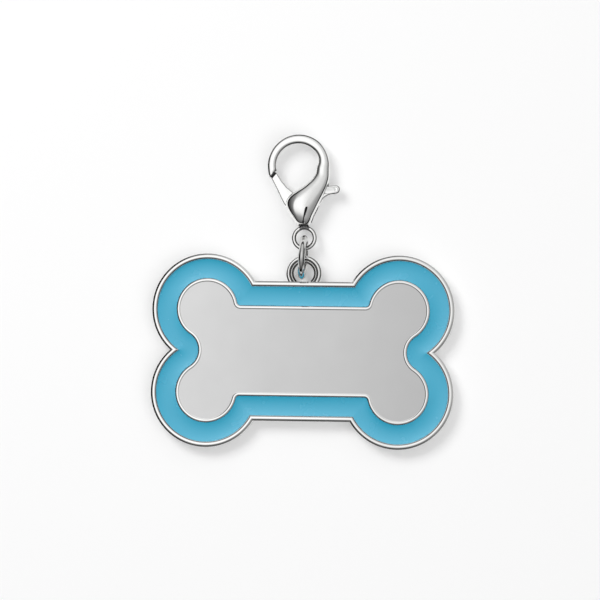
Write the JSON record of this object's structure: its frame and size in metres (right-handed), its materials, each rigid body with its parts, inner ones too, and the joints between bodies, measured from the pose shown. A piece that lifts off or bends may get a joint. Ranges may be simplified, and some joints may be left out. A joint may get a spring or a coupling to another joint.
{
  "type": "pet id tag",
  "caption": "Bone-shaped metal pet tag with a polished rim, an enamel-filled channel and a blank satin plate, hung from a sprung lobster clasp by a jump ring.",
  "frame": {"origin": "middle of the bone's flat back face", "axes": "+X to the right and +Y up towards the clasp, seen from the front; +Z out of the enamelled face"},
  "size_m": [0.046, 0.0477, 0.0067],
  "materials": {
    "tag_metal": "polished rim and edges, satin face",
    "enamel": "soft enamel, glossy",
    "ring_metal": "polished nickel plate",
    "clasp_metal": "polished nickel plate",
    "pin_metal": "plain steel",
    "spring_metal": "plain spring steel"
  },
  "bodies": {
    "tag": {"tag_plate": "tag_metal", "enamel_fill": "enamel"},
    "ring": {"jump_ring": "ring_metal"},
    "clasp": {"clasp_body": "clasp_metal", "lever_pin": "pin_metal", "lever_spring": "spring_metal"},
    "lever": {"clasp_lever": "clasp_metal"}
  },
  "joints": [
    {"name": "ring_swing", "type": "hinge", "parent": "tag", "child": "ring", "pos_m": [0, 0.01401, 0.00165], "axis": [1, 0, 0], "range_deg": [-90, 4]},
    {"name": "clasp_swing", "type": "hinge", "parent": "ring", "child": "clasp", "pos_m": [0.00013, 0.01674, 0.00195], "axis": [0, 0, 1], "range_deg": [-60, 60]},
    {"name": "gate_open", "type": "hinge", "parent": "clasp", "child": "lever", "pos_m": [-0.00008, 0.02185, 0.00195], "axis": [0, 0, 1], "range_deg": [-25, 0], "stiffness_Nm_per_rad": 0.01, "springref_deg": 5.73, "deforming": ["lever_spring"]}
  ]
}
